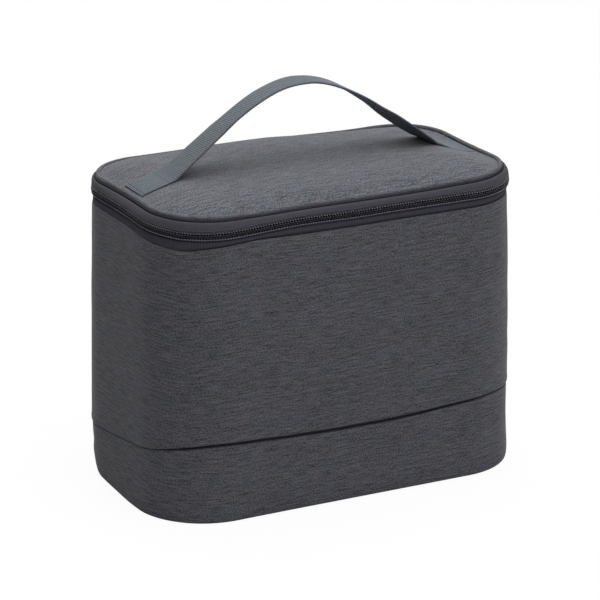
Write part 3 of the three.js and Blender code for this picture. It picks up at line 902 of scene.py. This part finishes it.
make_zip(1, lid_point, "lid", "zip_coil_lid", "above", [
    ((0, 0.15, 1.95), (0.4, 0.32, 0.32)),
    # A pale bead on each tooth's face: a painted glint.
    ((0, 0.42, 0.75), (0.22, 0.18, 0.26)),
    ((0.45, 0.2, 2.85), (0.25, 0.24, 0.2)),
    ((0.9, 0.1, 3.75), (0.2, 0.22, 0.17)),
])
make_zip(-1, body_point, "bag", "zip_coil_body", "below", [
    ((0, 0.15, -1.95), (0.4, 0.32, 0.32)),
    # A pale bead at the coil's middle: a painted glint on the teeth.
    ((0.1, 0.4, -0.3), (0.22, 0.18, 0.28)),
])

# The lid's crowned layers and the level layers of the base
crown_rise = 7.7 * MM
crown_reach = 10.5 * MM
slow_reach = 36 * MM
panel_inset = 7.3 * MM
panel_edge = panel_inset - 0.2 * MM
panel_edge_z = zip_z + 8.9 * MM
ring_steps = (0, 0.25, 0.8, 1.7, 3, 5, 8, 12, 17, 23, 29)
ring_shares = (0.85, 0.7, 0.55, 0.4, 0.25, 0.12, 0)
middle_inset = 60 * MM


@cache
def slow_share(along):
    """Where the crown rises at once from the edge, 0, and where it rises slowly, 1."""
    return around(along, [
        (0, 0), (back_left_corner, 0.2), (left_middle, 0.5), (front_left_corner, 0.2),
        (front_left_corner + 45 * MM, 0), (front_middle, 0), (front_middle + 70 * MM, 0),
        (front_right_corner, 0.4), (right_middle, 1), (back_right_corner, 0.8),
        (outline_length - 75 * MM, 0.3),
    ])


def crown_z(along, inset):
    """The lid's crown: it rises at once behind the front edge, and slowly from the right end."""
    into = max(inset - panel_inset, 0)
    quick = 1 - math.exp(-into / crown_reach)
    slow = smoothstep(into, 0, slow_reach)
    share = slow_share(along)
    dip = 1.4 * MM * share
    return panel_edge_z - dip + (crown_rise + dip) * (quick + (slow - quick) * share)


def top_panel_z(along, inset):
    """The top panel's edge turns up against the bead, then follows the crown."""
    return crown_z(along, inset) + 0.5 * MM * math.exp(-(inset - panel_inset) / (1.5 * MM))


def lid_height(x):
    """Height of the top panel along the lid's long middle line."""
    along = left_middle if x < 0 else right_middle
    last_ring = panel_edge + ring_steps[-1] * MM
    edge_x = half_width - rim_lean(along)
    edge = crown_z(along, min(edge_x - abs(x), last_ring)) - rim_sag(along)
    share = min(abs(x) / (edge_x - last_ring), 1)
    return edge + (crown_z(front_middle, middle_inset) - edge) * (1 - share * share)


def layer(name, material, point, first_inset, height_at, thickness, edge_drop=0.0, crease=0.0, ripple=1.0):
    """Rings that follow the outline, then rings that shrink to the middle, above and below."""
    def ring_place(i, j, drop):
        along = whole_outline[i]
        ring = min(j, len(ring_steps) - 1)
        inset = first_inset + ring_steps[ring] * MM
        place = point(along, inset, height_at(along, inset) - drop - (edge_drop if j == 0 else 0))
        if j > ring:
            share = ring_shares[j - len(ring_steps)]
            middle_z = height_at(front_middle, middle_inset) - drop
            height = middle_z + (place.z - middle_z) * share * share
            place = Vector((place.x * share, place.y * share, height))
        flat = Vector((place.x, place.y, 0))
        wave = 0.35 * noise.noise(flat * 26) + 0.15 * noise.noise((flat + Vector((0, 0, 5))) * 75)
        wave = ripple * wave + crease * (1 - 2 * abs(noise.noise((flat + Vector((0, 0, 3))) * 60)))
        place.z += wave * MM * smoothstep(ring, 2, 6)
        return place

    mesh = bmesh.new()
    columns, rows = len(whole_outline) - 1, len(ring_steps) + len(ring_shares) - 1
    for drop in (0, thickness):
        uv = bent_grid(mesh, columns, rows, lambda i, j: ring_place(i, j, drop))
    bmesh.ops.bridge_loops(mesh, edges=open_edges(mesh))
    for face in mesh.faces:
        for loop in face.loops:
            loop[uv].uv = loop.vert.co.xy
    return finish_shell(name, mesh, material)


def lid_layer(name, material, first_inset, drop, thickness, crease=0.0):
    """A crowned layer of the lid."""
    def height_at(along, inset):
        return crown_z(along, inset) - drop
    return layer(name, material, lid_point, first_inset, height_at, thickness, crease=crease)


def flat_layer(name, material, first_inset, height, thickness, crease=0.0):
    """A level layer of the base."""
    def height_at(along, inset):
        return height
    return layer(name, material, body_point, first_inset, height_at, thickness, crease=crease, ripple=0.1)


lid_top = layer(
    "lid_top_fabric", lid_fabric_painted_light, lid_point, panel_edge, top_panel_z, 0.8 * MM,
    edge_drop=0.35 * MM, ripple=0.7,
)
clothed(lid_top, "lid", "heather_fabric", "lid_top_panel")
lid_foam = lid_layer("lid_foam_layer", white_foam, 8.2 * MM, 1.2 * MM, 5.1 * MM)
clothed(lid_foam, "lid", "foam", "lid_foam")
lid_liner = lid_layer("lid_liner_foil", foil_film, 8.0 * MM, 7.2 * MM, 0.6 * MM, crease=0.4)
clothed(lid_liner, "lid", "liner", "lid_liner")
base_gap = 0.05 * MM
for name, material, slot, node in (
    ("bottom_fabric_panel", body_fabric, "heather_fabric", "bottom_panel"),
    ("base_stiffener", grey_board, "base_board", "base_board"),
    ("base_foam_layer", white_foam, "foam", "base_foam"),
):
    low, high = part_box(node)
    thickness = high.z - low.z - 2 * base_gap
    base_piece = flat_layer(name, material, half_width - high.x, high.z - base_gap, thickness)
    clothed(base_piece, "bag", slot, node)
base_liner = flat_layer("base_liner_foil", foil_film, 8.3 * MM, 9.95 * MM, 0.5 * MM, crease=0.3)
clothed(base_liner, "bag", "liner", "base_liner")

# The handle: ribbed webbing, sewn flat at both ends
strap_width = strap_high.y - strap_low.y
strap_thickness = 1.4 * MM
takeoff_left = -92.2 * MM
takeoff_right = 92 * MM
strap_end_left = -half_width + 10.8 * MM
strap_end_right = half_width - 9.5 * MM
apex_x = -2 * MM
apex_z = strap_high.z - strap_thickness / 2
twist_steps = (
    (-115, 0.4), (-92, 0.2), (-84, -1.5), (-75, -2.3), (-60, -3.4), (-48, -4.8), (-24, -3.8), (0, -1.9),
    (25, -0.4), (48, -1.9), (64, -5.3), (75, -5.2), (83, -4.2), (91, -1.1), (100, 0), (116, 0),
)


def strap_z(x):
    """Height of the strap's middle line: an arch that settles softly on the lid."""
    seat_z = lid_height(x) + strap_thickness * 0.3 + 0.2 * MM
    if x < apex_x:
        takeoff, foot_z, fullness = takeoff_left, zip_z + 17 * MM, 0.75
    else:
        takeoff, foot_z, fullness = takeoff_right, zip_z + 13.6 * MM, 0.7
    share = (x - apex_x) / (takeoff - apex_x)
    if share < 1:
        arch = fullness * math.cos(math.pi / 2 * share)
        arch += (1 - fullness) * (0.5 + 0.5 * math.cos(math.pi * share))
    else:
        arch = fullness * math.pi / 2 * (1 - share)
    above = foot_z + (apex_z - foot_z) * arch - seat_z
    softness = 0.65 * MM
    if above < 20 * MM:
        above = softness * math.log(math.exp(above / softness) + 1)
    return seat_z + above


def strap_twist(x):
    """How much higher the strap's back edge is than its front edge."""
    x_mm = min(max(x / MM, twist_steps[0][0]), twist_steps[-1][0])
    for (start, value), (end, end_value) in zip(twist_steps, twist_steps[1:]):
        if start <= x_mm <= end:
            return (value + (end_value - value) * smoothstep(x_mm, start, end)) * MM


def strap_line(start_x, end_x):
    """Points along the strap at equal steps of its length, four to a rib."""
    points = [Vector((x, 0, strap_z(x))) for x in places_along(start_x, end_x, (end_x - start_x) / 2400)]
    lengths = lengths_along(points)
    steps = 4 * round(lengths[-1] / webbing_rib)
    line, position = [], 0
    for step in range(steps + 1):
        wanted = lengths[-1] * step / steps
        while position < len(lengths) - 2 and lengths[position + 1] < wanted:
            position += 1
        share = (wanted - lengths[position]) / (lengths[position + 1] - lengths[position])
        line.append(points[position].lerp(points[position + 1], share))
    return line


def make_strap(name, start_x, end_x):
    """One flank of the strap: a flat ribbed section with rounded edges, thinner where it is sewn down."""
    line = strap_line(start_x, end_x)
    half = strap_width / 2
    edge_start = 0.94
    across = [-1, -0.985, -edge_start, *[i / 5 for i in range(-4, 5)], edge_start, 0.985, 1]
    section = [(share, 1) for share in across] + [(share, -1) for share in across[::-1]]
    rows, columns = len(section), len(line) - 1

    def place_of(i, j):
        share, side = section[j % rows]
        middle = line[i]
        tangent = (line[min(i + 1, columns)] - line[max(i - 1, 0)]).normalized()
        width = Vector((0, strap_width, strap_twist(middle.x)))
        width = (width - tangent * width.dot(tangent)).normalized()
        upward = tangent.cross(width).normalized()
        over = max(abs(share) - edge_start, 0) / (1 - edge_start)
        sewn = max(smoothstep(-middle.x, 90 * MM, 97 * MM), smoothstep(middle.x, 92 * MM, 99 * MM))
        rib = 0.11 * MM * math.cos(math.pi * i / 2)
        thick = strap_thickness / 2 * (1 - 0.45 * sewn) - 0.05 * MM + rib
        return middle + width * share * half + upward * side * thick * math.sqrt(max(1 - over * over, 0))

    def uv_of(i, j):
        share, side = section[j % rows]
        return (i + 1) * webbing_rib / 4, share * half + (0 if side > 0 else 0.1)

    mesh = bmesh.new()
    bent_grid(mesh, columns, rows, place_of, uv_of)
    ends = bmesh.ops.holes_fill(mesh, edges=open_edges(mesh))["faces"]
    for face in ends:
        for edge in face.edges:
            edge.smooth = False
    return finish_shell(name, mesh, webbing)


strap_left = make_strap("handle_webbing_left", strap_end_left, apex_x)
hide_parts("handle_end_left", "handle_strap")
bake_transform(strap_left)
strap_right = make_strap("handle_webbing_right", apex_x, strap_end_right)
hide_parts("handle_end_right")
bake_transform(strap_right)

# Rows of thread across the strap, where it is sewn to the lid
strap_stitch = bead_template("strap_stitch", [((0, 0, 0), (0.34, 1.05, 0.22))], sides=8, rings=6)
for name, x in (
    ("strap_stitches_left_inner", -95.5 * MM),
    ("strap_stitches_left_outer", -112.0 * MM),
    ("strap_stitches_right_inner", 97 * MM),
    ("strap_stitches_right_outer", 113 * MM),
):
    middle_z = strap_z(x) + 0.42 * MM
    across = Vector((0, strap_width, strap_twist(x))) / 2
    row = [Matrix.Translation(Vector((x, 0, middle_z)) + across * (i - 4.5) / 5) for i in range(10)]
    clothed(studs(name, dark_thread, strap_stitch, row), "lid", "webbing")

# Sliders and their pulls, on the right side
plate_inner = slider_low.x
plate_outer = slider_high.x
plate_thickness = 1.0 * MM
bail_x = joint_places["front_pull_swing"].x
bail_radius = 0.6 * MM
leg_y = 3.2 * MM
knuckle_radius = 1.7 * MM
knuckle_bore = 0.9 * MM
knuckle_half = 2.1 * MM
tab_half = 0.6 * MM
tab_hole_radius = 1.05 * MM
tab_hole_z = -18.4 * MM
half_plate = [(-4.7, 0), (-4.5, 2.2), (-3.4, 3.2), (-0.6, 3.45), (2.2, 3.95), (4.0, 3.6), (4.7, 2.2)]
plate_outline = half_plate + [(4.75, 0)] + [(y, -z) for y, z in half_plate[:0:-1]]
post_outline = [(2.6, 0), (3.4, 0.55), (4.4, 0.6), (4.6, 0), (4.4, -0.6), (3.4, -0.55)]
half_tab = [(1.7, -1.35), (1.75, -4), (2.1, -8), (2.3, -14), (2.3, -19), (1.9, -21.2), (0.7, -22)]
tab_outline = half_tab + [(-y, z) for y, z in half_tab[::-1]]


def skin(mesh, rings, closed=False):
    """Adds a surface through rings of points. Its two ends are filled, or joined to each other."""
    loops = [[mesh.verts.new(point) for point in ring] for ring in rings]
    nexts = loops[1:] + loops[:1] if closed else loops[1:]
    for loop, after in zip(loops, nexts):
        for i in range(len(loop)):
            mesh.faces.new((loop[i - 1], loop[i], after[i], after[i - 1]))
    if not closed:
        mesh.faces.new(loops[0][::-1])
        mesh.faces.new(loops[-1])


def grown(ring, distance):
    """A ring in a plane with its points moved away from its centre."""
    points = [Vector(point) for point in ring]
    centre = sum(points, Vector((0, 0))) / len(points)
    return [point + (point - centre).normalized() * distance for point in points]


def slab(mesh, ring, low, high, place, edge=0.2 * MM, hole=None):
    """Adds a plate with rounded edges. Its ring and hole lie in its plane; low and high are its faces."""
    levels = [
        (low, 0.7), (low + 0.3 * edge, 0.25), (low + edge, 0),
        (high - edge, 0), (high - 0.3 * edge, 0.25), (high, 0.7),
    ]
    rings = [[place(u, v, level) for u, v in grown(ring, -edge * pull)] for level, pull in levels]
    if hole:
        rings += [[place(u, v, level) for u, v in grown(hole, edge * pull)] for level, pull in levels[::-1]]
    skin(mesh, rings, closed=bool(hole))


def make_slider(name, nose):
    """A slider, its bail and its pull. nose is the direction along Y in which it opens the zip."""
    middle_y = joint_places[f"{name}_pull_swing"].y

    def on_side(u, v, level):
        return Vector((level, middle_y + u, zip_z + v))

    def across_side(u, v, level):
        return Vector((bail_x + u, middle_y + level, zip_z + v))

    plate, post = (
        smooth_path([(nose * y * MM, z * MM) for y, z in points], closed=True)
        for points in (plate_outline, post_outline)
    )
    mesh = bmesh.new()
    slab(mesh, plate, plate_inner, plate_inner + plate_thickness, on_side)
    slab(mesh, plate, plate_outer - plate_thickness, plate_outer, on_side)
    post_margin = plate_thickness - 0.1 * MM
    slab(mesh, post, plate_inner + post_margin, plate_outer - post_margin, on_side, edge=0.05 * MM)
    casting = finish_shell(f"{name}_slider_casting", mesh, gunmetal)
    clothed(casting, f"{name}_slider", "slider_metal", f"{name}_slider_body")

    leg = [
        (plate_outer + 0.05 * MM, -leg_y), (bail_x - 1.0 * MM, -leg_y),
        (bail_x - 0.25 * MM, -leg_y + 0.25 * MM), (bail_x, -leg_y + 0.9 * MM),
    ]
    arch = [Vector((x, y, 0)) for x, y in leg + [(x, -y) for x, y in leg[::-1]]]
    rings = []
    for i, point in enumerate(arch):
        tangent = (arch[min(i + 1, len(arch) - 1)] - arch[max(i - 1, 0)]).normalized()
        side = Vector((tangent.y, -tangent.x, 0))
        centre = point + Vector((0, middle_y, zip_z))
        rings.append([centre + side * u + Vector((0, 0, v)) for u, v in circle(bail_radius, 12)])
    mesh = bmesh.new()
    skin(mesh, rings)
    bail = finish_shell(f"{name}_slider_loop", mesh, gunmetal)
    clothed(bail, f"{name}_slider", "slider_metal", f"{name}_slider_bail")

    mesh = bmesh.new()
    knuckle, bore = circle(knuckle_radius, 32), circle(knuckle_bore, 32)
    slab(mesh, knuckle, -knuckle_half, knuckle_half, across_side, hole=bore)
    tab = smooth_path([(y * MM, z * MM) for y, z in tab_outline], closed=True)
    hole = []
    for u, v in tab:
        toward = Vector((u, v - tab_hole_z)).normalized() * tab_hole_radius
        hole.append((toward.x, tab_hole_z + toward.y))
    slab(mesh, tab, bail_x - tab_half, bail_x + tab_half, on_side, hole=hole)
    pull = finish_shell(f"{name}_pull", mesh, gunmetal)
    clothed(pull, f"{name}_pull", "slider_metal", f"{name}_pull_tab")


make_slider("front", -1)
make_slider("rear", 1)

make_camera()
make_lights()
make_world()
make_floor()
bpy.context.scene.view_settings.view_transform = "Standard"

low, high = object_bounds()
